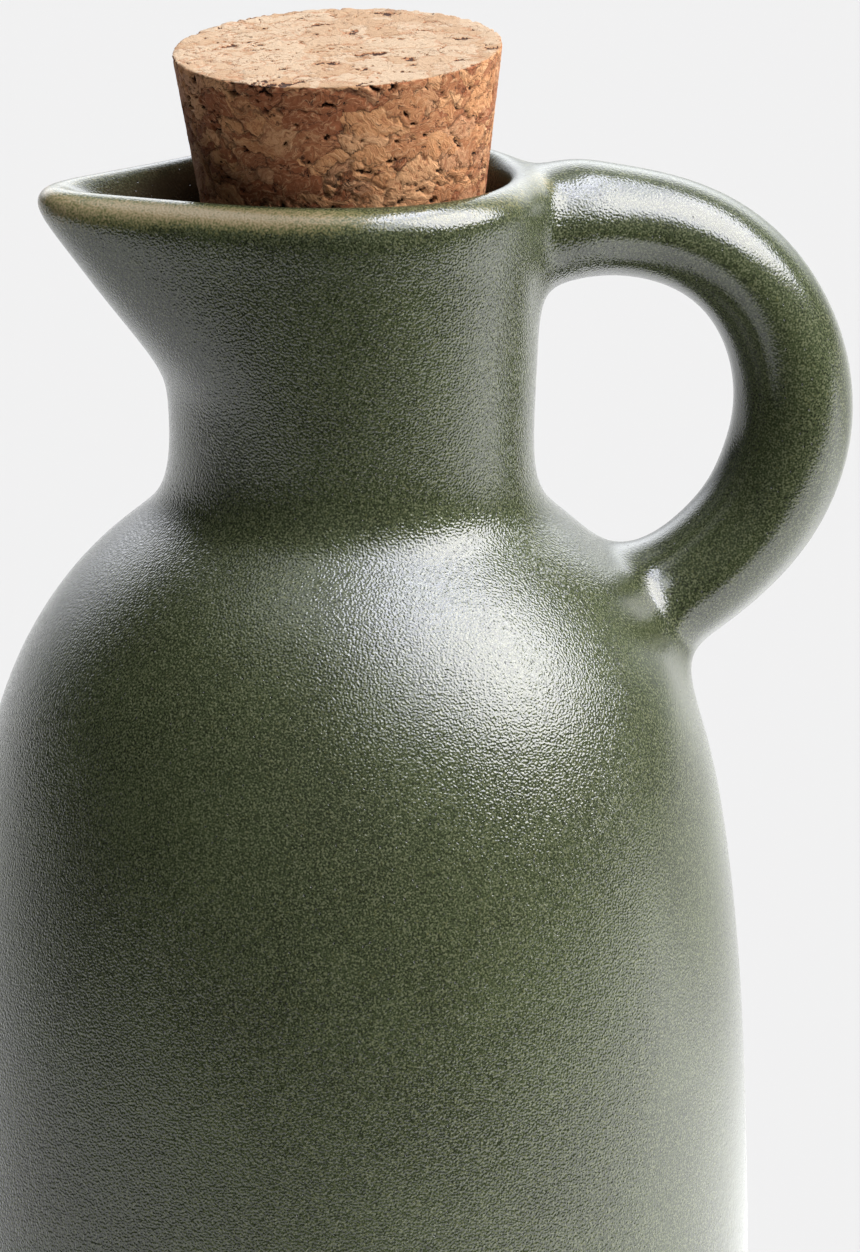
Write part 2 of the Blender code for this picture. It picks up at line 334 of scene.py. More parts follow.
# ---------------------------------------------------------------------------------------------------
# Finishes
# ---------------------------------------------------------------------------------------------------
@dataclass(frozen=True)
class SatinGlaze:
    """Forest-green satin glaze on brown stoneware: it thins to tan on the lip and stops above the foot.

    The fades that are named for an axis run over metres.
    """

    deep: Colour = (0.0215, 0.0270, 0.0112, 1.0)
    mid: Colour = (0.0315, 0.0400, 0.0164, 1.0)
    # The light colour is for pale specks: partly the glaze's own speckle, partly painted glints.
    light: Colour = (0.0980, 0.1030, 0.0570, 1.0)
    olive: Colour = (0.0850, 0.0850, 0.0320, 1.0)
    tan: Colour = (0.1900, 0.1480, 0.0800, 1.0)
    clay: Colour = (0.3300, 0.2300, 0.1500, 1.0)
    pinhole: Colour = (0.0060, 0.0060, 0.0040, 1.0)
    # The next colour, used inside the mouth, is painted shade and not the glaze's own colour.
    painted_mouth_shade: Colour = (0.0420, 0.0300, 0.0170, 1.0)
    cloud_mm: float = 16.0
    cloudy: Fade = Fade(0.30, 0.72)
    mottle_mm: float = 1.3
    grain_mm: float = 0.25
    speck_mm: float = 0.21
    pale_speck_and_glint: Fade = Fade(0.50, 0.72, 0.58)
    dark_speck: Fade = Fade(0.47, 0.30, 0.55)
    thin_mottle: float = 0.40
    thin_grain: float = 0.90
    thin_to_olive: Fade = Fade(0.08, 0.60, 0.8)
    thin_to_tan: Fade = Fade(0.36, 1.05, 0.95)
    painted_mouth_shade_share: float = 0.85
    pit_mm: float = 1.2
    pitted: Fade = Fade(0.105, 0.055)
    pitted_where_thick: Fade = Fade(0.5, 0.2)
    bare_mottle: float = 0.15
    bare_edge: Fade = Fade(0.45, 0.55)
    grog_mm: float = 0.7
    groggy: Fade = Fade(0.35, 0.75)
    grog_darkness: float = 0.7
    handle_from_x: Fade = Fade(0.024, 0.030)
    lip_from_z: Fade = Fade(0.176, 0.179)
    belly_below_z: Fade = Fade(0.095, 0.040)
    ripple_mm: float = 0.9
    ripple_share: float = 0.15
    belly_ripple: float = 0.55
    pit_depth: float = 0.5
    calm: float = 0.66
    relief_mm: float = 0.073
    ior: float = 1.5
    roughness: float = 0.145
    mottle_roughness: float = 0.06
    calm_roughness: float = 0.04
    bare_roughness: float = 0.45

    def build(self) -> bpy.types.Material:
        """Writes the material.

        Returns:
            The material.
        """
        made, graph = new_material("satin_green_glaze")
        where = graph.position()
        cloud = graph.fractal(where, self.cloud_mm, 3.0, 0.55)
        mottle = graph.fractal(where, self.mottle_mm, 2.0, 0.6)
        grain = graph.fractal(where, self.grain_mm, 0.0)
        speck = graph.fractal(where, self.speck_mm, 0.0, 0.5)
        tone = graph.blend(self.cloudy.of(cloud), self.deep, self.mid)
        # Pale specks: the glaze's own speckle and, in part, painted glints of its fine relief.
        tone = graph.blend(self.pale_speck_and_glint.of(speck), tone, self.light)
        tone = graph.blend(self.dark_speck.of(speck), tone, self.pinhole)

        # Where the glaze is thin, its green goes over olive to tan.
        thin = graph.attribute("thin_glaze")
        thin = thin + (mottle - 0.5) * self.thin_mottle + (grain - 0.5) * self.thin_grain
        tone = graph.blend(self.thin_to_olive.of(thin), tone, self.olive)
        tone = graph.blend(self.thin_to_tan.of(thin), tone, self.tan)
        # Inside the mouth the glaze is painted dark brown: painted shade in the recess under the cork.
        tone = graph.blend(graph.attribute("mouth") * self.painted_mouth_shade_share, tone, self.painted_mouth_shade)

        pit = self.pitted.of(graph.cells(where, self.pit_mm)) * self.pitted_where_thick.of(thin)
        tone = graph.blend(pit, tone, self.pinhole)

        # The foot is left bare.
        bare = self.bare_edge.of(graph.attribute("bare_clay") + (mottle - 0.5) * self.bare_mottle)
        grog = graph.fractal(where, self.grog_mm, 3.0, 0.6)
        dark_clay = tuple(self.grog_darkness * part for part in self.clay[:3]) + (1.0,)
        clay = graph.blend(self.groggy.of(grog), self.clay, dark_clay)
        tone = graph.blend(bare, tone, clay)

        # The handle and the lip are smoother than the wall, and the belly ripples a little more low down.
        ripple = graph.fractal(where, self.ripple_mm, 1.0, 0.5)
        handle = self.handle_from_x.of(graph.part(where, "X"))
        smoother = handle.larger(self.lip_from_z.of(graph.part(where, "Z")))
        low = self.belly_below_z.of(graph.part(where, "Z"))
        rippled = ripple * (self.ripple_share + low * self.belly_ripple)
        relief = grain * (1 - smoother * self.calm) + rippled - pit * self.pit_depth
        normal = graph.bump(relief, self.relief_mm)
        rough = self.roughness + (mottle - 0.5) * self.mottle_roughness
        rough = rough + smoother * self.calm_roughness + bare * self.bare_roughness
        values = {"Base Color": tone, "Roughness": rough.clamp(), "Normal": normal, "IOR": self.ior}
        shader = graph.node("ShaderNodeBsdfPrincipled", {}, values)
        graph.surface(shader)
        return made


@dataclass(frozen=True)
class CorkMarks:
    """What the cork's pattern gives at a place, all from 0 to 1."""

    shade: Wire
    second: Wire
    seam: Wire
    crack: Wire
    pit: Wire
    gouge: Wire
    fibre: Wire
    fleck: Wire


@dataclass(frozen=True)
class CorkPattern:
    """Granules, seams, cracks, pits and fibres, written alike for the mesh's relief and for its colour."""

    bend_scale: float = 300.0
    bend_mm: float = 3.4
    fray_scale: float = 1300.0
    fray_mm: float = 1.1
    press: float = 1.9
    granule_mm: float = 4.6
    crumb_mm: float = 2.3
    crumbly_mm: float = 7.0
    crumbly: Fade = Fade(0.5399, 0.5401)
    loose_mm: float = 2.6
    seam_width: Fade = Fade(0.060, 0.0)
    seam_open: Fade = Fade(0.40, 0.56)
    crumb_seam_width: Fade = Fade(0.070, 0.0)
    crumb_seam_open: Fade = Fade(0.62, 0.46)
    crumb_seam_share: float = 0.7
    crack_mm: float = 3.0
    crack_width: Fade = Fade(0.014, 0.0)
    crack_break_mm: float = 1.8
    crack_open: Fade = Fade(0.48, 0.56)
    pit_mm: float = 1.7
    pit_laid: Triple = (1.0, 1.0, 1.5)
    pit_edge: Fade = Fade(0.68, 0.72)
    gouge_mm: float = 3.4
    gouge_laid: Triple = (0.8, 1.3, 1.6)
    gouge_edge: Fade = Fade(0.665, 0.715)
    open_top: float = 0.045
    fibre_lean: float = 1.6
    granule_jump_mm: float = 70.0
    fibre_mm: float = 4.2
    fibre_laid: Triple = (1.0, 1.0, 2.2)
    fibre_bands: float = 7.0
    fleck_mm: float = 1.3
    fleck_laid: Triple = (1.0, 1.0, 3.2)

    def marks(self, graph: Graph, place: Wire, top: Wire) -> CorkMarks:
        """Adds the pattern's nodes.

        Args:
            graph: A shader's tree or a geometry tree.
            place: Coordinates on the cork, in metres.
            top: 1 on the sawn top and 0 on the side.

        Returns:
            The pattern at that place.
        """
        coarse = graph.colour_noise(place, self.bend_scale)
        fine = graph.colour_noise(place, self.fray_scale)
        bent = graph.shifted(graph.shifted(place, coarse, self.bend_mm), fine, self.fray_mm)

        # Granules lie flat, and in patches they are broken into crumbs.
        laid = graph.stretch(bent, (1.0, 1.0, self.press))
        granule = graph.cells(laid, self.granule_mm, "F1", "Color")
        crumb = graph.cells(laid, self.crumb_mm, "F1", "Color")
        crumbly = self.crumbly.of(graph.fractal(bent, self.crumbly_mm, 1.0))
        shade = graph.part(granule, "X") * (1 - crumbly) + graph.part(crumb, "X") * crumbly
        second = graph.part(granule, "Y") * (1 - crumbly) + graph.part(crumb, "Y") * crumbly

        # Seams run round them, open only where the cork is loosely pressed.
        edge = graph.cells(laid, self.granule_mm, "DISTANCE_TO_EDGE")
        small_edge = graph.cells(laid, self.crumb_mm, "DISTANCE_TO_EDGE")
        loose = graph.fractal(place, self.loose_mm, 1.0)
        seam = self.seam_width.of(edge) * self.seam_open.of(loose)
        small_seam = self.crumb_seam_width.of(small_edge) * crumbly * self.crumb_seam_open.of(loose)
        seam = seam + small_seam * self.crumb_seam_share

        split = graph.fractal(laid, self.crack_mm, 3.0, 0.55)
        broken = graph.fractal(place, self.crack_break_mm, 1.0)
        crack = self.crack_width.of((split - 0.5).size()) * self.crack_open.of(broken)

        hollow = graph.fractal(graph.stretch(bent, self.pit_laid), self.pit_mm, 1.0, 0.6)
        pit = self.pit_edge.of(hollow)
        hollow = graph.fractal(graph.stretch(bent, self.gouge_laid), self.gouge_mm, 2.0, 0.7)
        gouge = self.gouge_edge.of(hollow + top * self.open_top)

        # Each granule's fibres lean their own way.
        lean = graph.part(place, "X") * (shade - 0.5) + graph.part(place, "Y") * (second - 0.5)
        turned = graph.node("ShaderNodeCombineXYZ", {}, {2: lean * self.fibre_lean})
        sheared = graph.node("ShaderNodeVectorMath", {"operation": "ADD"}, {0: bent, 1: turned})
        jumped = graph.shifted(sheared, granule, self.granule_jump_mm)
        field = graph.fractal(graph.stretch(jumped, self.fibre_laid), self.fibre_mm, 2.0, 0.5, 0.5)
        fibre = field.folded(self.fibre_bands)
        fleck = graph.fractal(graph.stretch(jumped, self.fleck_laid), self.fleck_mm, 4.0, 0.68, 0.3)
        return CorkMarks(shade, second, seam.clamp(), crack, pit, gouge, fibre, fleck)


@dataclass(frozen=True)
class PressedCork:
    """Bare cork of pressed granules: browns, fibres and dark cracks at the side, paler where it is sawn."""

    pale: Colour = (0.460, 0.272, 0.138, 1.0)
    honey: Colour = (0.355, 0.170, 0.070, 1.0)
    brown: Colour = (0.180, 0.058, 0.021, 1.0)
    seam: Colour = (0.016, 0.007, 0.004, 1.0)
    sawn: Colour = (0.264, 0.194, 0.121, 1.0)
    sawn_warm: Colour = (0.220, 0.134, 0.068, 1.0)
    halo: Colour = (0.190, 0.078, 0.030, 1.0)
    browned: Fade = Fade(0.15, 0.85)
    pale_granule: Fade = Fade(0.62, 0.95, 0.4)
    pale_fleck: Fade = Fade(0.52, 0.72, 0.60)
    brown_fleck: Fade = Fade(0.48, 0.32, 0.75)
    brown_fibre: Fade = Fade(0.22, 0.0, 0.60)
    pale_fibre: Fade = Fade(0.75, 1.0, 0.35)
    seam_share: float = 0.52
    crack_share: float = 0.75
    warm_granule: Fade = Fade(0.45, 0.85, 0.80)
    warm_fleck: Fade = Fade(0.47, 0.33, 0.45)
    warm_dust: Fade = Fade(0.50, 0.30, 0.25)
    sawn_seam_share: float = 0.65
    sawn_crack_share: float = 0.90
    hollow_halo: Fade = Fade(0.0, 0.25)
    hollow_dark: Fade = Fade(0.3, 0.8, 0.92)
    dust_mm: float = 0.35
    dust_relief: float = 0.22
    fibre_relief: float = 0.14
    crack_relief: float = 0.5
    relief_mm: float = 0.26
    roughness: float = 0.85
    shine: float = 0.2
    pattern: CorkPattern = CorkPattern()

    def build(self) -> bpy.types.Material:
        """Writes the material.

        Returns:
            The material.
        """
        made, graph = new_material("pressed_cork")
        place = graph.attribute("grain_place", "Vector")
        top = graph.attribute("sawn_top")
        marks = self.pattern.marks(graph, place, top)
        dust = graph.fractal(place, self.dust_mm, 2.0, 0.6)
        hollow = marks.pit.larger(marks.gouge)

        tone = graph.blend(self.browned.of(marks.shade), self.brown, self.honey)
        tone = graph.blend(self.pale_granule.of(marks.second), tone, self.pale)
        tone = graph.blend(self.pale_fleck.of(marks.fleck), tone, self.pale)
        tone = graph.blend(self.brown_fleck.of(marks.fleck), tone, self.brown)
        tone = graph.blend(self.brown_fibre.of(marks.fibre), tone, self.brown)
        tone = graph.blend(self.pale_fibre.of(marks.fibre), tone, self.pale)
        tone = graph.blend(marks.seam * self.seam_share, tone, self.seam)
        tone = graph.blend(marks.crack * self.crack_share, tone, self.seam)

        sawn = graph.blend(self.warm_granule.of(marks.shade), self.sawn, self.sawn_warm)
        sawn = graph.blend(self.warm_fleck.of(marks.fleck), sawn, self.sawn_warm)
        sawn = graph.blend(self.warm_dust.of(dust), sawn, self.sawn_warm)
        sawn = graph.blend(marks.seam * self.sawn_seam_share, sawn, self.halo)
        sawn = graph.blend(marks.crack * self.sawn_crack_share, sawn, self.halo)
        sawn = graph.blend(self.hollow_halo.of(hollow), sawn, self.halo)
        tone = graph.blend(top, tone, sawn)
        tone = graph.blend(self.hollow_dark.of(hollow), tone, self.seam)

        fibres = marks.fibre * (1 - top) * self.fibre_relief
        relief = marks.fleck + fibres + dust * self.dust_relief - marks.crack * self.crack_relief
        normal = graph.bump(relief, self.relief_mm)
        values: dict[str, Any] = {"Base Color": tone, "Roughness": self.roughness, "Normal": normal}
        values["Specular IOR Level"] = self.shine
        shader = graph.node("ShaderNodeBsdfPrincipled", {}, values)
        graph.surface(shader)
        return made


@dataclass(frozen=True)
class StudioPaper:
    """Pale paper on a table, evenly pale where it is looked at. Where it lights the bottle it is white on
    the right and painted darker on the left, far behind the bottle and past the table's edges: painted
    shade for the studio's uneven light and the dark room around the table.

    The fades run over metres in front of the bottle, ahead, and to its right, aside.
    """

    white: Colour = (0.950, 0.950, 0.888, 1.0)
    painted_shade_grey: Colour = (0.440, 0.440, 0.420, 1.0)
    far: Colour = (0.290, 0.290, 0.270, 1.0)
    far_right: Colour = (0.360, 0.360, 0.330, 1.0)
    gone: Colour = (0.050, 0.050, 0.050, 1.0)
    lit_aside: Fade = Fade(-0.03, 0.20)
    gone_aside: Fade = Fade(-0.32, -0.50)
    far_aside: Fade = Fade(0.00, 0.25)
    far_ahead: Fade = Fade(-0.06, -0.32)
    edge_width: float = 0.04
    slant: float = 0.16
    pale: float = 0.14
    glow: Colour = (0.362, 0.358, 0.318, 1.0)
    shown: float = 0.888

    def build(self, front: Vector, right: Vector, table_edge: float) -> bpy.types.Material:
        """Writes the material.

        Args:
            front: Level direction towards the front of the table.
            right: Level direction towards its right, where the paper is lit best.
            table_edge: How far in front of the bottle the table ends, in metres.

        Returns:
            The material.
        """
        made, graph = new_material("studio_paper")
        place = graph.position()
        ahead = graph.along(place, front)
        aside = graph.along(place, right)
        reach = ahead + aside.larger(0) * self.slant
        on_table = reach.smooth(table_edge + self.edge_width, table_edge - self.edge_width)
        # Painted shade on the paper that lights the bottle: grey to the left, dimmer far behind, dark at
        # the far left and black past the table's front edge.
        lit = graph.blend(self.lit_aside.of(aside), self.painted_shade_grey, self.white)
        lit = graph.blend(self.gone_aside.of(aside), lit, self.gone)
        far = graph.blend(self.far_aside.of(aside), self.far, self.far_right)
        lit = graph.blend(self.far_ahead.of(ahead), lit, far)
        lit = graph.blend(on_table, (0.0, 0.0, 0.0, 1.0), lit)
        lighting = graph.node("ShaderNodeBsdfDiffuse", {}, {"Color": lit})
        looked_at = graph.node("ShaderNodeBsdfPrincipled", {}, {
            "Base Color": (self.pale, self.pale, self.pale, 1.0),
            "Roughness": 1.0,
            "Specular IOR Level": 0.0,
            "Emission Color": self.glow,
            "Emission Strength": 1.0,
        })
        seen = graph.node("ShaderNodeLightPath", {}, {}, "Is Camera Ray")
        shader = graph.node("ShaderNodeMixShader", {}, {0: seen, 1: lighting, 2: looked_at})
        graph.surface(shader)
        return made


# ---------------------------------------------------------------------------------------------------
# Mesh helpers
# ---------------------------------------------------------------------------------------------------
def mesh_object(name: str, mesh: bmesh.types.BMesh) -> bpy.types.Object:
    """Turns a bmesh into an object at the origin.

    Args:
        name: The object's name.
        mesh: The bmesh, which is freed.

    Returns:
        The object, linked to the scene.
    """
    data = bpy.data.meshes.new(name)
    mesh.to_mesh(data)
    mesh.free()
    made = bpy.data.objects.new(name, data)
    bpy.context.scene.collection.objects.link(made)
    return made


def flattened(piece: bpy.types.Object) -> bpy.types.Object:
    """Replaces a piece's mesh by its evaluated mesh and removes its modifiers.

    Args:
        piece: The object to flatten.

    Returns:
        The same object.
    """
    graph = bpy.context.evaluated_depsgraph_get()
    data = bpy.data.meshes.new_from_object(piece.evaluated_get(graph), depsgraph=graph)
    piece.modifiers.clear()
    piece.data = data
    return piece


def points_of(data: bpy.types.Mesh) -> np.ndarray:
    """Reads a mesh's vertex places.

    Args:
        data: The mesh.

    Returns:
        One row for each vertex, in metres.
    """
    flat = np.empty(len(data.vertices) * 3)
    data.vertices.foreach_get("co", flat)
    return flat.reshape(-1, 3)


def normals_of(data: bpy.types.Mesh) -> np.ndarray:
    """Reads a mesh's vertex normals.

    Args:
        data: The mesh.

    Returns:
        One row for each vertex.
    """
    flat = np.empty(len(data.vertices) * 3)
    data.vertex_normals.foreach_get("vector", flat)
    return flat.reshape(-1, 3)


def store_number(data: bpy.types.Mesh, name: str, values: np.ndarray) -> None:
    """Stores one number for each vertex.

    Args:
        data: The mesh.
        name: The attribute's name.
        values: One number for each vertex.
    """
    layer = data.attributes.new(name, "FLOAT", "POINT")
    layer.data.foreach_set("value", values.astype(np.float32))


# ---------------------------------------------------------------------------------------------------
# The bottle
# ---------------------------------------------------------------------------------------------------
@dataclass
class BottleForm:
    """The fired piece: turned body and neck, pinched pouring lip, mouth and loop handle, in millimetres.

    A row of the wall is its height and radius, a row of the lip its depth and its distance in from the
    rim's edge, and a row of the mouth its depth, its radius and how far its channel reaches. A point of the
    handle's path is its place along X, its height and half the handle's thickness. A joint is the height of
    its centre, half its height and half its width. The fields that start with run say how the glaze runs
    off the lip's outer corner, and throat_inward, throat_floor, throat_rim and throat_handle say where the
    inside of the mouth begins, which is painted darker as shade.
    """

    height: float = 180.0
    rim_radius: float = 21.3
    bore_radius: float = 15.3
    bore_depth: float = 26.0
    bore_corner: float = 1.0
    base_radius: float = 37.5
    foot_rows: Rows = ((0.0, 37.5), (0.9, 39.6), (4.0, 41.6), (11.0, 43.3))
    belly_rows: Rows = (
        (24.0, 44.65), (40.0, 45.15), (57.0, 45.1), (73.0, 44.6), (87.5, 43.85), (99.5, 42.65),
    )
    shoulder_rows: Rows = (
        (109.0, 41.2), (116.5, 39.5), (123.2, 37.2), (127.0, 35.4), (130.3, 33.5), (133.6, 31.2),
        (137.0, 28.2),
    )
    neck_rows: Rows = (
        (139.8, 25.0), (142.0, 22.2), (144.4, 20.6), (148.0, 19.9), (153.2, 20.0), (157.2, 20.15),
        (161.0, 20.3),
    )
    collar_rows: Rows = ((165.6, 20.5), (169.0, 20.65), (172.4, 20.8), (175.6, 21.15), (178.1, 21.1))
    lip_rows: Rows = ((0.25, 1.75), (-0.30, 3.6))
    mouth_rows: Rows = (
        (0.9, 16.8, 30.3), (3.6, 16.35, 25.5), (8.0, 15.9, 20.5), (12.5, 15.45, 17.0), (16.5, 15.3, 15.3),
    )
    tip_reach: float = 36.4
    tip_radius: float = 6.2
    channel_tip_radius: float = 1.4
    spout_root: float = 155.4
    spout_bend: float = 2.2
    spout_bulge: float = 1.15
    spout_droop: float = 0.65
    droop_start: float = 2.0
    droop_end: float = 17.0
    tip_crowding: float = 0.05
    handle_path: Rows = (
        (24.4, 173.8, 6.7), (29.0, 173.5, 6.05), (34.0, 172.6, 5.9), (39.0, 170.7, 5.95),
        (43.4, 167.5, 6.05), (46.9, 163.0, 6.2), (49.4, 157.0, 6.5), (50.0, 150.0, 6.75),
        (48.4, 144.0, 6.75), (45.8, 139.0, 6.5), (42.0, 135.0, 6.35), (37.8, 131.8, 6.3),
    )
    handle_widening: float = 1.12
    handle_facet: float = 0.055
    facet_end: int = 6
    facet_width: float = 20.0
    facet_rise: float = 90.0
    facet_sink: float = 45.0
    upper_joint: Triple = (172.7, 7.1, 7.7)
    lower_joint: Triple = (129.9, 6.2, 7.5)
    upper_joint_row: int = 2
    lower_joint_row: int = 4
    joint_pinch: float = 0.50
    joint_pinch_width: float = 0.80
    joint_pinch_reach: float = 17.0
    columns: int = 32
    patch: int = 2
    cap_share: float = 0.88
    subdivision: int = 3
    run_depth: float = 0.95
    run_crown: float = 0.2
    run_width: float = 1.35
    run_width_gain: float = 1.6
    run_outward: Fade = Fade(0.0, 0.45)
    run_tip: Fade = Fade(20.0, 34.0)
    run_tip_loss: float = 0.25
    run_round: float = 0.34
    run_spout: Fade = Fade(-2.0, 10.0, 0.42)
    run_droop: float = 0.20
    run_handle_share: float = 0.30
    run_handle_length: float = 3.0
    run_handle_end: Pair = (1.2, 2.6)
    crest_share: float = 0.40
    crest_start: Fade = Fade(12.0, 24.0)
    crest_depth: float = 0.7
    crest_upward: float = 0.3
    throat_inward: Fade = Fade(0.2, 0.7)
    throat_floor: float = 2.0
    throat_rim: Pair = (0.4, 2.6)
    throat_handle: Pair = (2.0, 3.0)
    bare_below: Fade = Fade(-0.9, -0.3)

    @property
    def handle_sides(self) -> int:
        """Points round each of the handle's rings."""
        return 8 * self.patch

    @staticmethod
    def limit_share(sides: int) -> float:
        """Radius of the smooth surface through a ring of cage points, as a share of the ring's own."""
        return (4 + 2 * math.cos(2 * math.pi / sides)) / 6

    @staticmethod
    def soft_ramp(value: float, bend: float) -> float:
        """Zero below a bend and the value itself above it, with a round corner between.

        Args:
            value: The number.
            bend: How far to either side of zero the corner reaches.

        Returns:
            The bent number.
        """
        if value <= -bend:
            return 0.0
        if value >= bend:
            return value
        return (value + bend) ** 2 / (4 * bend)

    def teardrop_point(self, share: float, radius: float, tip_radius: float, reach: float) -> Pair:
        """Point on a teardrop outline: a circle, a small circle at the tip and the line that touches both.

        Args:
            share: 0 at the tip and 1 a quarter turn round the large circle from it.
            radius: Radius of the large circle.
            tip_radius: Radius of the small circle.
            reach: Distance of the tip from the large circle's centre.

        Returns:
            Distance towards the tip and distance to the side.
        """
        centre = reach - tip_radius
        touch = math.acos((radius - tip_radius) / centre)
        straight = math.sqrt(centre**2 - (radius - tip_radius) ** 2)
        tip_arc = tip_radius * touch
        side_arc = radius * (math.pi / 2 - touch)
        crowded = share - self.tip_crowding * math.sin(2 * math.pi * share)
        run = crowded * (tip_arc + straight + side_arc)
        if run <= tip_arc:
            turn = run / tip_radius
            return centre + tip_radius * math.cos(turn), tip_radius * math.sin(turn)
        if run <= tip_arc + straight:
            along = (run - tip_arc) / straight
            start = (centre + tip_radius * math.cos(touch), tip_radius * math.sin(touch))
            end = (radius * math.cos(touch), radius * math.sin(touch))
            return start[0] + along * (end[0] - start[0]), start[1] + along * (end[1] - start[1])
        turn = touch + (run - tip_arc - straight) / radius
        return radius * math.cos(turn), radius * math.sin(turn)

    def nose_offset(self, column: int, radius: float, tip_radius: float, reach: float) -> Pair:
        """How far the pouring lip moves a column's point away from the plain circle.

        Args:
            column: The column's number.
            radius: Radius of the plain circle.
            tip_radius: Radius of the pouring lip's tip.
            reach: Distance of the tip from the axis.

        Returns:
            The move along X and along Y.
        """
        angle = 2 * math.pi * column / self.columns
        from_tip = abs(math.pi - angle)
        if from_tip >= math.pi / 2 or reach <= radius + 0.01:
            return 0.0, 0.0
        ahead, aside = self.teardrop_point(from_tip / (math.pi / 2), radius, tip_radius, reach)
        side = 1.0 if angle < math.pi else -1.0
        return -ahead - radius * math.cos(angle), side * aside - radius * math.sin(angle)

    def outer_nose(self, height: float) -> float:
        """Share of the pouring lip's full reach that the outer wall has at a height.

        Args:
            height: The height.

        Returns:
            The share, from 0 to 1.
        """
        start = self.spout_root + self.spout_bend
        share = min(1.0, self.soft_ramp(height - start, self.spout_bend) / (self.height - start))
        return 1 - (1 - share) ** self.spout_bulge

    def drooped(self, point: Vector, depth: float) -> Vector:
        """Lowers a point that belongs to the pouring lip, less so the deeper it is below the rim.

        Args:
            point: The point, in metres.
            depth: How far it is below the rim.

        Returns:
            The lowered point, in metres.
        """
        ahead = (-point.x / MM - self.droop_start) / (self.droop_end - self.droop_start)
        share = min(1.0, max(0.0, ahead))
        share = share * share * (3 - 2 * share) * max(0.0, 1 - depth / (self.height - self.spout_root))
        return point - Vector((0, 0, self.spout_droop * share)) * MM

    def pinched_angle(self, column: int, height: float) -> float:
        """A column's angle, drawn in towards the handle's plane near the lower joint.

        Args:
            column: The column's number.
            height: The height of the row.

        Returns:
            The angle in radians.
        """
        angle = 2 * math.pi * column / self.columns
        if angle > math.pi:
            angle -= 2 * math.pi
        near = math.exp(-(((height - self.lower_joint[0]) / self.joint_pinch_reach) ** 2))
        pinch = self.joint_pinch * near * math.exp(-((angle / self.joint_pinch_width) ** 2))
        return angle * (1 - pinch)

    def outer_row(self, height: float, radius: float) -> Points:
        """One row of the outer wall.

        Args:
            height: The row's height.
            radius: The turned wall's radius there.

        Returns:
            The row's points.
        """
        grow = 1 / self.limit_share(self.columns)
        share = self.outer_nose(height)
        points = []
        for column in range(self.columns):
            angle = self.pinched_angle(column, height)
            dx, dy = self.nose_offset(column, self.rim_radius, self.tip_radius, self.tip_reach)
            x = radius * grow * math.cos(angle) + share * dx
            y = radius * grow * math.sin(angle) + share * dy
            points.append(self.drooped(Vector((x, y, height)) * MM, self.height - height))
        return points

    def lip_row(self, depth: float, inset: float) -> Points:
        """One row over the top of the lip, set in from the rim's edge by the same distance all round."""
        tip_radius = self.tip_radius - inset
        return self.inner_row(depth, self.rim_radius - inset, self.tip_reach - inset, tip_radius)

    def inner_row(
        self, depth: float, radius: float, reach: float, tip_radius: Optional[float] = None
    ) -> Points:
        """One row of the lip's top or of the mouth.

        Args:
            depth: Depth below the rim.
            radius: Radius of the round part.
            reach: Distance of the pouring lip's tip from the axis.
            tip_radius: Radius of the tip, or the channel's own where it is left out.

        Returns:
            The row's points.
        """
        grow = 1 / self.limit_share(self.columns)
        tip = self.channel_tip_radius if tip_radius is None else tip_radius
        points = []
        for column in range(self.columns):
            angle = 2 * math.pi * column / self.columns
            dx, dy = self.nose_offset(column, radius, tip, reach)
            x = radius * grow * math.cos(angle) + dx
            y = radius * grow * math.sin(angle) + dy
            points.append(self.drooped(Vector((x, y, self.height - depth)) * MM, depth))
        return points

    def flat_row(self, height: float, radius: float) -> Points:
        """One plain round row, for the base and the bottom of the bore."""
        turns = (2 * math.pi * column / self.columns for column in range(self.columns))
        return [Vector((radius * math.cos(turn), radius * math.sin(turn), height)) * MM for turn in turns]

    def rows(self) -> list[Points]:
        """Every row from the middle of the base, up the wall, over the lip and down the bore.

        Returns:
            The rows, each with as many points as there are columns.
        """
        wall = self.foot_rows + self.belly_rows + self.shoulder_rows + self.neck_rows + self.collar_rows
        floor = self.height - self.bore_depth
        rows = [self.flat_row(0.0, self.base_radius * self.cap_share)]
        rows += [self.outer_row(height, radius) for height, radius in wall]
        rows += [self.lip_row(*row) for row in self.lip_rows]
        rows += [self.inner_row(*row) for row in self.mouth_rows]
        rows += [self.flat_row(floor + self.bore_corner, self.bore_radius)]
        rows += [self.flat_row(floor, self.bore_radius - self.bore_corner)]
        rows += [self.flat_row(floor, self.bore_radius * self.cap_share**2)]
        return rows

    def patch_steps(self) -> list[tuple[int, int]]:
        """Walks round a patch's border, from its outer side and on towards +Y.

        Returns:
            Row and column offsets from the patch's centre.
        """
        size = self.patch
        side = range(-size, size)
        border = [(size, step) for step in side]
        border += [(-step, size) for step in side]
        border += [(-size, -step) for step in side]
        border += [(step, -size) for step in side]
        start = border.index((size, 0))
        return border[start:] + border[:start]

    def wall_radius(self, height: float) -> float:
        """Radius of the turned wall at a height, read along the straight runs between its rows.

        Args:
            height: The height.

        Returns:
            The radius.
        """
        wall = self.shoulder_rows + self.neck_rows + self.collar_rows
        for (low, low_radius), (high, high_radius) in zip(wall, wall[1:]):
            if low <= height <= high:
                return low_radius + (high_radius - low_radius) * (height - low) / (high - low)
        return wall[-1][1]

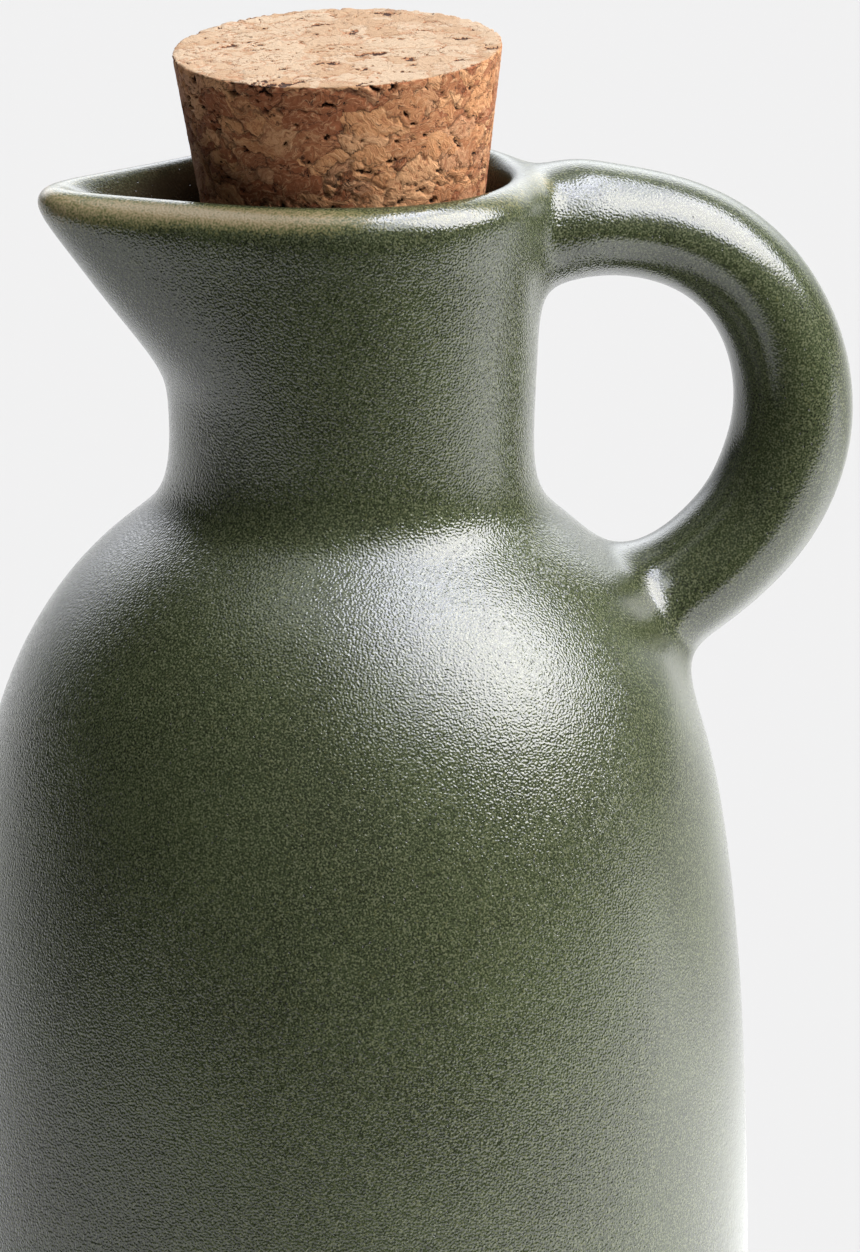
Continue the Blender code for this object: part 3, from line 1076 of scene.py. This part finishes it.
    def place_joint(
        self, rows: list[Points], centre_row: int, joint: Triple, outwards: int
    ) -> list[tuple[int, int]]:
        """Moves a patch's border onto an oval on the wall.

        Args:
            rows: The cage's rows, which are changed.
            centre_row: The row at the joint's centre.
            joint: Height of the centre, half the oval's height and half its width.
            outwards: 1 where the handle's outer side is up, -1 where it is down.

        Returns:
            The border's (row, column) pairs in order.
        """
        middle, half_height, half_width = joint
        grow = 1 / self.limit_share(self.columns)
        border = []
        for step, (up, across) in enumerate(self.patch_steps()):
            turn = 2 * math.pi * step / self.handle_sides
            height = middle + outwards * half_height * math.cos(turn)
            radius = self.wall_radius(height) * grow
            angle = half_width * math.sin(turn) / radius
            row, column = centre_row + outwards * up, across % self.columns
            rows[row][column] = Vector((radius * math.cos(angle), radius * math.sin(angle), height)) * MM
            border.append((row, column))
        return border

    def flat_shoulder(self, turn: float) -> float:
        """How the handle's section swells or sinks, so that its upper shoulders are flatter.

        Args:
            turn: Angle round the section from its outer side, in radians.

        Returns:
            1 where it swells most and -1 where it sinks most.
        """
        away = math.degrees(min(turn, 2 * math.pi - turn))
        swell = math.exp(-(((away - self.facet_rise) / self.facet_width) ** 2))
        return swell - math.exp(-(((away - self.facet_sink) / self.facet_width) ** 2))

    def handle_rings(self) -> list[Points]:
        """The handle's rings of points along its centre line.

        Returns:
            One ring for each point of the path.
        """
        grow = 1 / self.limit_share(self.handle_sides)
        rings = []
        last = len(self.handle_path) - 1
        for index, (x, z, half) in enumerate(self.handle_path):
            before = self.handle_path[max(index - 1, 0)]
            after = self.handle_path[min(index + 1, last)]
            along = Vector((after[0] - before[0], 0, after[1] - before[1])).normalized()
            outer = Vector((-along.z, 0, along.x))
            facet = self.handle_facet * max(0.0, 1.0 - index / self.facet_end)
            ring = []
            for step in range(self.handle_sides):
                turn = 2 * math.pi * step / self.handle_sides
                swell = 1.0 + facet * self.flat_shoulder(turn)
                aside = Vector((0, half * self.handle_widening * math.sin(turn), 0))
                away = (outer * half * math.cos(turn) + aside) * grow * swell
                ring.append((Vector((x, 0, z)) + away) * MM)
            rings.append(ring)
        return rings

    def cage(self) -> bmesh.types.BMesh:
        """The bottle's whole cage: rows joined into a skin, and the handle's rings between two openings.

        Returns:
            The closed cage, faces outwards.
        """
        rows = self.rows()
        below_shoulder = 1 + len(self.foot_rows + self.belly_rows)
        lower_row = below_shoulder + self.lower_joint_row
        upper_row = below_shoulder + len(self.shoulder_rows + self.neck_rows) + self.upper_joint_row
        upper = self.place_joint(rows, upper_row, self.upper_joint, 1)
        lower = self.place_joint(rows, lower_row, self.lower_joint, -1)
        size = self.patch
        holes = {
            (centre + up, across % self.columns)
            for centre in (lower_row, upper_row)
            for up in range(-size, size)
            for across in range(-size, size)
        }
        mesh = bmesh.new()
        grid = [[mesh.verts.new(point) for point in row] for row in rows]
        for row in range(len(grid) - 1):
            for column in range(self.columns):
                if (row, column) in holes:
                    continue
                after = (column + 1) % self.columns
                below, above = grid[row], grid[row + 1]
                mesh.faces.new((below[column], below[after], above[after], above[column]))
        for edge_row in (grid[0], grid[-1]):
            centre = mesh.verts.new(sum((vert.co for vert in edge_row), Vector()) / self.columns)
            for column in range(self.columns):
                mesh.faces.new((edge_row[column], edge_row[(column + 1) % self.columns], centre))
        rings = [[grid[row][column] for row, column in upper]]
        rings += [[mesh.verts.new(point) for point in ring] for ring in self.handle_rings()]
        rings += [[grid[row][column] for row, column in lower]]
        for ring, following in zip(rings, rings[1:]):
            for step in range(self.handle_sides):
                after = (step + 1) % self.handle_sides
                mesh.faces.new((ring[step], ring[after], following[after], following[step]))
        loose = [vert for vert in mesh.verts if not vert.link_faces]
        bmesh.ops.delete(mesh, geom=loose, context="VERTS")
        bmesh.ops.recalc_face_normals(mesh, faces=mesh.faces)
        return mesh

    def thin_glaze(self, points: np.ndarray, normals: np.ndarray) -> np.ndarray:
        """How far the glaze has run off the lip's outer corner, 0 to 1.

        Args:
            points: Vertex places in metres.
            normals: Vertex normals.

        Returns:
            One number for each vertex.
        """
        x, y, z = (points / MM).T
        away = np.hypot(x, y)
        ahead = Fade(self.droop_start, self.droop_end).over(-x)
        depth = self.height + self.run_crown - self.spout_droop * ahead - z
        outward = (normals[:, 0] * x + normals[:, 1] * y) / np.maximum(away, 1.0)
        tip = self.run_tip.over(-x)
        width = self.run_width + self.run_width_gain * tip
        corner = np.exp(-(((depth - self.run_depth) / width) ** 2)) * self.run_outward.over(outward)
        corner = corner * (1 - self.run_tip_loss * tip)
        wall = away < self.tip_reach + 1.0
        handle = Fade(*(self.rim_radius + step for step in self.run_handle_end)).over(x)
        near_handle = Fade(self.rim_radius - self.run_handle_length, self.rim_radius, self.run_handle_share)
        run = self.run_round + self.run_spout.over(-x) + near_handle.over(x)
        crest = self.crest_share * ahead * self.crest_start.over(-x)
        crest = crest * np.exp(-((depth / self.crest_depth) ** 2)) * (normals[:, 2] > self.crest_upward)
        return np.maximum(corner * (run + self.run_droop * ahead), crest) * wall * (1 - handle)

    def mouth(self, points: np.ndarray, normals: np.ndarray) -> np.ndarray:
        """How far a point lies inside the mouth, 0 to 1; there the glaze is painted darker as shade.

        Args:
            points: Vertex places in metres.
            normals: Vertex normals.

        Returns:
            One number for each vertex.
        """
        x, y, z = (points / MM).T
        away = np.hypot(x, y)
        inward = -(normals[:, 0] * x + normals[:, 1] * y) / np.maximum(away, 1.0)
        within = away < self.tip_reach + 1.0
        floor = self.height - self.bore_depth
        above = Fade(floor - self.throat_floor, floor).over(z)
        below = Fade(*(step - self.height for step in self.throat_rim)).over(-z)
        handle = Fade(*(self.bore_radius + step for step in self.throat_handle)).over(x)
        return self.throat_inward.over(inward) * within * above * below * (1 - handle)

    def build(self, glaze: bpy.types.Material) -> bpy.types.Object:
        """Makes the smooth bottle and stores where its glaze is thin or missing.

        It also stores where painted shade darkens the inside of the mouth.

        Args:
            glaze: Its material.

        Returns:
            The bottle.
        """
        piece = mesh_object("glazed_bottle", self.cage())
        smooth = piece.modifiers.new("Smooth", "SUBSURF")
        smooth.levels = self.subdivision
        smooth.render_levels = self.subdivision
        flattened(piece)
        data = piece.data
        points, normals = points_of(data), normals_of(data)
        store_number(data, "thin_glaze", self.thin_glaze(points, normals))
        store_number(data, "bare_clay", self.bare_below.over(-points[:, 2] / MM))
        store_number(data, "mouth", self.mouth(points, normals))
        data.materials.clear()
        data.materials.append(glaze)
        data.shade_smooth()
        return piece


# ---------------------------------------------------------------------------------------------------
# The cork
# ---------------------------------------------------------------------------------------------------
class Carving(Enum):
    """Named inputs of the cork's carving tree, with their socket types."""

    CORK = ("Cork", "NodeSocketGeometry")
    SEAM_DEPTH = ("Seam Depth", "NodeSocketFloat")
    PIT_DEPTH = ("Pit Depth", "NodeSocketFloat")
    GRAIN_DEPTH = ("Grain Depth", "NodeSocketFloat")
    CRUMBLE = ("Rim Crumble", "NodeSocketFloat")
    SEED = ("Seed", "NodeSocketFloat")
    FINISH = ("Finish", "NodeSocketMaterial")

    @property
    def title(self) -> str:
        """The input's name."""
        return self.value[0]

    @property
    def socket(self) -> str:
        """The input's socket type."""
        return self.value[1]


@dataclass
class CorkForm:
    """The tapered stopper of pressed granules, leaning a little in the mouth, in millimetres."""

    top_radius: float = 17.95
    length: float = 30.0
    taper: float = 0.146
    proud: float = 13.9
    lean_left: float = 2.8
    lean_forward: float = 1.0
    seat_depth: float = 12.0
    seat_shift: float = 0.75
    edge: float = 0.16
    columns: int = 430
    grain: float = 0.25
    coarse_grain: float = 0.9
    shown: float = 17.0
    rim_height: float = 180.0
    seam_depth: float = 0.22
    pit_depth: float = 0.65
    grain_depth: float = 0.17
    crumble: float = 0.17
    crumb_mm: float = 1.1
    crumbled: Fade = Fade(0.42, 0.66)
    crumbled_down: Fade = Fade(-0.8, -0.1)
    crumbled_in: Pair = (0.9, 0.2)
    sawn: Fade = Fade(0.6, 0.9)
    sawn_calm: float = 0.65
    crack_share: float = 0.6
    fleck_level: float = 0.62
    seed: float = 3.0
    seed_step: Pair = (0.037, 0.023)
    foot_rings: Pair = (0.7, 0.35)
    pattern: CorkPattern = CorkPattern()

    def outline(self) -> list[Pair]:
        """Half section from the middle of the top, over its edge, down the side and in under the bottom.

        Returns:
            Radius and height of each ring.
        """
        top = self.proud + self.seat_depth
        bottom = top - self.length
        rings = int(self.top_radius / self.grain)
        flat = self.top_radius - self.edge
        points = [(flat * (ring / rings), top) for ring in range(rings + 1)]
        fine = int(self.shown / self.grain)
        downs = [self.edge + (self.shown - self.edge) * step / fine for step in range(fine + 1)]
        rest = self.length - self.shown - self.edge
        coarse = int(rest / self.coarse_grain)
        downs += [self.shown + rest * step / coarse for step in range(1, coarse + 1)]
        points += [(self.top_radius - self.taper * down, top - down) for down in downs]
        low = self.top_radius - self.taper * self.length
        points += [(low - self.edge, bottom)]
        points += [(low * share, bottom) for share in self.foot_rings]
        points += [(0.0, bottom)]
        return points

    def blank(self) -> bmesh.types.BMesh:
        """The plain turned cork in a fine grid.

        Returns:
            The closed blank, standing on its own axis.
        """
        mesh = bmesh.new()
        rings: list[list[bmesh.types.BMVert]] = []
        for radius, height in self.outline():
            count = 1 if radius == 0.0 else self.columns
            turns = (2 * math.pi * column / count for column in range(count))
            places = (Vector((radius * math.cos(turn), radius * math.sin(turn), height)) for turn in turns)
            rings.append([mesh.verts.new(place * MM) for place in places])
        for ring, following in zip(rings, rings[1:]):
            self._join(mesh, ring, following)
        bmesh.ops.recalc_face_normals(mesh, faces=mesh.faces)
        return mesh

    @staticmethod
    def _join(
        mesh: bmesh.types.BMesh, ring: list[bmesh.types.BMVert], following: list[bmesh.types.BMVert]
    ) -> None:
        """Fills the band between two rings, either of which may be a single point.

        Args:
            mesh: The mesh that gets the faces.
            ring: One ring.
            following: The next ring.
        """
        count = max(len(ring), len(following))
        for column in range(count):
            after = (column + 1) % count
            if len(ring) == 1:
                mesh.faces.new((ring[0], following[column], following[after]))
            elif len(following) == 1:
                mesh.faces.new((ring[column], ring[after], following[0]))
            else:
                mesh.faces.new((ring[column], ring[after], following[after], following[column]))

    def seat(self) -> Matrix:
        """Where the cork stands: its lean and its place in the mouth.

        Returns:
            The move from its own axis to the mouth.
        """
        lean = Matrix.Rotation(math.radians(-self.lean_left), 4, "Y")
        lean = Matrix.Rotation(math.radians(self.lean_forward), 4, "X") @ lean
        place = Vector((-self.seat_shift, 0, self.rim_height - self.seat_depth)) * MM
        return Matrix.Translation(place) @ lean

    def carving(self) -> bpy.types.NodeTree:
        """Writes the tree that carves seams, pits and grain and keeps each point's uncarved place.

        Returns:
            The geometry tree.
        """
        tree = bpy.data.node_groups.new("cork_carving", "GeometryNodeTree")
        for entry in Carving:
            tree.interface.new_socket(name=entry.title, in_out="INPUT", socket_type=entry.socket)
        tree.interface.new_socket(name="Carved", in_out="OUTPUT", socket_type="NodeSocketGeometry")
        graph = Graph(tree)

        def given(entry: Carving) -> Wire:
            """One of the tree's inputs."""
            return graph.node("NodeGroupInput", {}, {}, entry.title)

        def stored(name: str) -> Wire:
            """A number stored on the blank."""
            settings = {"data_type": "FLOAT"}
            return graph.node("GeometryNodeInputNamedAttribute", settings, {"Name": name}, "Attribute")

        seed = given(Carving.SEED)
        steps = {0: seed * self.seed_step[0], 2: seed * self.seed_step[1]}
        spread = graph.node("ShaderNodeCombineXYZ", {}, steps)
        here = graph.node("GeometryNodeInputPosition", {}, {}, "Position")
        place = graph.node("ShaderNodeVectorMath", {"operation": "ADD"}, {0: here, 1: spread})
        settings = {"data_type": "FLOAT_VECTOR", "domain": "POINT"}
        values = {"Geometry": given(Carving.CORK), "Name": "grain_place", "Value": place}
        kept = graph.node("GeometryNodeStoreNamedAttribute", settings, values)

        kind = "GeometryNodeInputNamedAttribute"
        kept_place = graph.node(kind, {"data_type": "FLOAT_VECTOR"}, {"Name": "grain_place"}, "Attribute")
        top = stored("sawn_top")
        marks = self.pattern.marks(graph, kept_place, top)
        side = 1 - top * self.sawn_calm
        crumbs = graph.fractal(kept_place, self.crumb_mm, 2.0)
        depth = (marks.seam + marks.crack * self.crack_share) * side * given(Carving.SEAM_DEPTH)
        depth = depth + marks.pit.larger(marks.gouge) * side * given(Carving.PIT_DEPTH)
        depth = depth + (self.fleck_level - marks.fleck) * side * given(Carving.GRAIN_DEPTH)
        depth = depth + stored("rim") * self.crumbled.of(crumbs) * given(Carving.CRUMBLE)
        normal = graph.node("GeometryNodeInputNormal", {}, {}, "Normal")
        values = {0: normal, "Scale": depth * -1}
        inwards = graph.node("ShaderNodeVectorMath", {"operation": "SCALE"}, values)
        carved = graph.node("GeometryNodeSetPosition", {}, {"Geometry": kept, "Offset": inwards})
        whole = graph.node("GeometryNodeRealizeInstances", {}, {"Geometry": carved})
        values = {"Geometry": whole, "Material": given(Carving.FINISH)}
        dressed = graph.node("GeometryNodeSetMaterial", {}, values)
        graph.node("NodeGroupOutput", {}, {"Carved": dressed})
        return tree

    def carve(self, piece: bpy.types.Object, cork: bpy.types.Material) -> None:
        """Runs the carving tree on the blank and keeps its result as the piece's mesh.

        Args:
            piece: The blank.
            cork: Its material.
        """
        tree = self.carving()
        modifier = piece.modifiers.new("Carving", "NODES")
        modifier.node_group = tree
        chosen = {
            Carving.SEAM_DEPTH: self.seam_depth * MM,
            Carving.PIT_DEPTH: self.pit_depth * MM,
            Carving.GRAIN_DEPTH: self.grain_depth * MM,
            Carving.CRUMBLE: self.crumble * MM,
            Carving.SEED: self.seed,
            Carving.FINISH: cork,
        }
        inputs = [item for item in tree.interface.items_tree if item.in_out == "INPUT"]
        sockets = {item.name: item.identifier for item in inputs}
        for entry, value in chosen.items():
            modifier[sockets[entry.title]] = value
        flattened(piece)

    def build(self, cork: bpy.types.Material) -> bpy.types.Object:
        """Makes the cork.

        Args:
            cork: Its material.

        Returns:
            The cork.
        """
        piece = mesh_object("cork", self.blank())
        data = piece.data
        points, normals = points_of(data), normals_of(data)
        top = (self.proud + self.seat_depth) * MM
        store_number(data, "sawn_top", self.sawn.over(normals[:, 2]) * (points[:, 2] > 0))
        outer = np.hypot(points[:, 0], points[:, 1]) / MM
        high_up = self.crumbled_down.over(-(top - points[:, 2]) / MM)
        far_out = Fade(*(self.top_radius - step for step in self.crumbled_in)).over(outer)
        store_number(data, "rim", high_up * far_out)
        data.transform(self.seat())
        self.carve(piece, cork)
        piece.data.shade_smooth()
        return piece


# ---------------------------------------------------------------------------------------------------
# The studio
# ---------------------------------------------------------------------------------------------------
@dataclass
class Studio:
    """Floor, light and camera. Directions are given as seen from the camera's side of the bottle.

    Lengths are metres and angles degrees here. An azimuth is 0 towards the camera and grows to the right.
    """

    azimuth: float = -12.0
    elevation: float = 15.5
    roll: float = 0.59
    distance: float = 1.10
    pixels_per_radian: float = 10000.0
    aim_height: float = 0.1287
    axis_pixel: float = 350.0
    floor_size: float = 16.0
    floor_drop: float = 0.00004
    table_edge: float = 0.28
    key_azimuth: float = 82.0
    key_elevation: float = 52.0
    key_roll: float = -10.0
    key_half_width: float = 23.0
    key_half_height: float = 29.5
    key_softness: float = 0.03
    key_glow: float = 15.4
    key_tint: Colour = (0.992, 1.010, 1.175, 1.0)
    core_tint: Colour = (1.020, 1.000, 1.025, 1.0)
    key_facing: Fade = Fade(0.05, 0.2)
    gap_start: Fade = Fade(0.17, 0.25)
    gap_end: Fade = Fade(0.39, 0.33)
    gap_depth: float = 0.55
    core_below: Fade = Fade(0.25, 0.13)
    core_share: float = 0.5
    room_tint: Colour = (0.950, 0.970, 1.030, 1.0)
    room_glow: float = 0.025
    open_glow: float = 0.11
    back_glow: float = 0.8
    wall_glow: float = 4.0
    ceiling_glow: float = 2.3
    open_from: Fade = Fade(-0.80, -0.20)
    back_from: Fade = Fade(0.45, 0.90)
    wall_foot: Fade = Fade(0.05, 0.45)
    wall_top: Fade = Fade(0.98, 0.75)
    ceiling_from: Fade = Fade(0.82, 0.99)
    lamp_azimuth: float = 30.0
    lamp_elevation: float = 50.0
    lamp_glow: float = 6.5
    lamp_edge: Fade = Fade(0.960, 0.985)
    clip: Pair = (0.05, 60.0)
    sensor: float = 36.0
    paper: StudioPaper = StudioPaper()

    @property
    def right(self) -> Vector:
        """The camera's right in the row frame."""
        turn = math.radians(self.azimuth)
        return Vector((math.cos(turn), math.sin(turn), 0))

    @property
    def away(self) -> Vector:
        """Level direction from the camera to the bottle."""
        turn = math.radians(self.azimuth)
        return Vector((-math.sin(turn), math.cos(turn), 0))

    def direction(self, right: float, away: float, up: float) -> Vector:
        """A direction given by its parts to the camera's right, away from it and up."""
        return (self.right * right + self.away * away + Vector((0, 0, up))).normalized()

    def aimed(self, azimuth: float, elevation: float) -> Vector:
        """A direction given by two angles.

        Args:
            azimuth: Degrees to the right of the camera.
            elevation: Degrees above the table.

        Returns:
            The direction, of length 1.
        """
        turn, rise = math.radians(azimuth), math.radians(elevation)
        level = math.cos(rise)
        return self.direction(math.sin(turn) * level, -math.cos(turn) * level, math.sin(rise))

    def camera(self) -> bpy.types.Object:
        """Makes the camera and sets it as the scene's.

        Returns:
            The camera.
        """
        data = bpy.data.cameras.new("camera")
        data.sensor_width = self.sensor
        data.lens = self.sensor * self.pixels_per_radian / IMAGE_HEIGHT
        data.clip_start, data.clip_end = self.clip
        made = bpy.data.objects.new("camera", data)
        bpy.context.scene.collection.objects.link(made)
        tilt = math.radians(self.elevation)
        look = self.away * math.cos(tilt) - Vector((0, 0, math.sin(tilt)))
        aside = (IMAGE_WIDTH / 2 - self.axis_pixel) * self.distance / self.pixels_per_radian
        target = Vector((0, 0, self.aim_height)) + self.right * aside
        turned = look.to_track_quat("-Z", "Y").to_matrix().to_4x4()
        turned = turned @ Matrix.Rotation(math.radians(self.roll), 4, "Z")
        made.matrix_world = Matrix.Translation(target - look * self.distance) @ turned
        bpy.context.scene.camera = made
        return made

    def softbox(self, graph: Graph, where: Wire) -> tuple[Wire, Wire, Wire]:
        """The large softbox high to the right, turned a little on its own axis and darker across a band.

        Args:
            graph: The world's tree.
            where: Direction of the ray.

        Returns:
            Whether the ray meets the softbox, from 0 to 1, the softbox's tint there and its brightness.
        """
        middle = self.aimed(self.key_azimuth, self.key_elevation)
        turned = Matrix.Rotation(math.radians(self.key_roll), 3, middle)
        side = turned @ Vector((0, 0, 1)).cross(middle).normalized()
        over = middle.cross(side)
        facing = graph.along(where, middle).larger(self.key_facing.start)
        across = (graph.along(where, side) / facing).size()
        rise = graph.along(where, over) / facing
        gap = self.gap_start.of(rise) * self.gap_end.of(rise)
        half_across = math.tan(math.radians(self.key_half_width))
        half_upward = math.tan(math.radians(self.key_half_height))
        soft = self.key_softness
        key = across.smooth(half_across + soft, half_across - soft)
        key = key * rise.size().smooth(half_upward + soft, half_upward - soft)
        key = key * self.key_facing.of(graph.along(where, middle))
        core = across.smooth(half_across, half_across * self.core_share) * self.core_below.of(rise)
        tint = graph.blend(core, self.key_tint, self.core_tint)
        return key, tint, key * (1 - gap * self.gap_depth) * self.key_glow

    def room(self, graph: Graph, where: Wire) -> Wire:
        """The room: a bright wall behind, a dim ceiling, a little light from the right, darkness in front.

        Args:
            graph: The world's tree.
            where: Direction of the ray.

        Returns:
            How bright the room is there.
        """
        rising = graph.along(where, Vector((0, 0, 1)))
        behind = self.back_from.of(graph.along(where, self.away))
        wall = behind * self.wall_foot.of(rising) * self.wall_top.of(rising)
        ceiling = self.ceiling_from.of(rising)
        open_side = self.open_from.of(graph.along(where, self.right))
        glow = self.room_glow + open_side * self.open_glow + wall * self.wall_glow
        return glow + behind * self.back_glow + ceiling * self.ceiling_glow

    def world(self) -> None:
        """Lights the scene from all round, and shows a camera the same even white in every direction."""
        made = bpy.data.worlds.new("studio")
        bpy.context.scene.world = made
        made.use_nodes = True
        graph = Graph(made.node_tree)
        where = graph.node("ShaderNodeTexCoord", {}, {}, "Generated")
        key, key_tint, key_glow = self.softbox(graph, where)
        to_lamp = graph.along(where, self.aimed(self.lamp_azimuth, self.lamp_elevation))
        lamp = self.lamp_edge.of(to_lamp) * (1 - key)
        seen = graph.node("ShaderNodeLightPath", {}, {}, "Is Camera Ray")
        tint = graph.blend(seen, graph.blend(key, self.room_tint, key_tint), (1.0, 1.0, 1.0, 1.0))
        glow = self.room(graph, where) + key_glow + lamp * self.lamp_glow
        glow = glow * (1 - seen) + seen * self.paper.shown
        light = graph.node("ShaderNodeBackground", {}, {"Color": tint, "Strength": glow})
        graph.node("ShaderNodeOutputWorld", {}, {"Surface": light})

    def floor(self) -> bpy.types.Object:
        """Makes the pale floor, a hair below the foot so that the two faces don't meet.

        Returns:
            The floor.
        """
        mesh = bmesh.new()
        bmesh.ops.create_grid(mesh, x_segments=1, y_segments=1, size=self.floor_size / 2)
        bmesh.ops.translate(mesh, verts=mesh.verts, vec=(0.0, 0.0, -self.floor_drop))
        made = mesh_object("floor", mesh)
        made.data.materials.append(self.paper.build(-self.away, self.right, self.table_edge))
        return made

    def build(self) -> None:
        """Makes the camera, the light and the floor."""
        self.camera()
        self.world()
        self.floor()
        bpy.context.scene.view_settings.view_transform = "Standard"


def main() -> None:
    """Builds the bottle, its cork and the studio."""
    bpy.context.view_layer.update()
    Studio().build()
    bottle = BottleForm().build(SatinGlaze().build())
    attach(bottle, "root")
    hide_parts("bottle")
    LOG.info("bottle: %d faces", len(bottle.data.polygons))
    cork = CorkForm().build(PressedCork().build())
    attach(cork, "root")
    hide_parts("cork_stopper")
    LOG.info("cork: %d faces", len(cork.data.polygons))


if __name__ == "__main__":
    main()
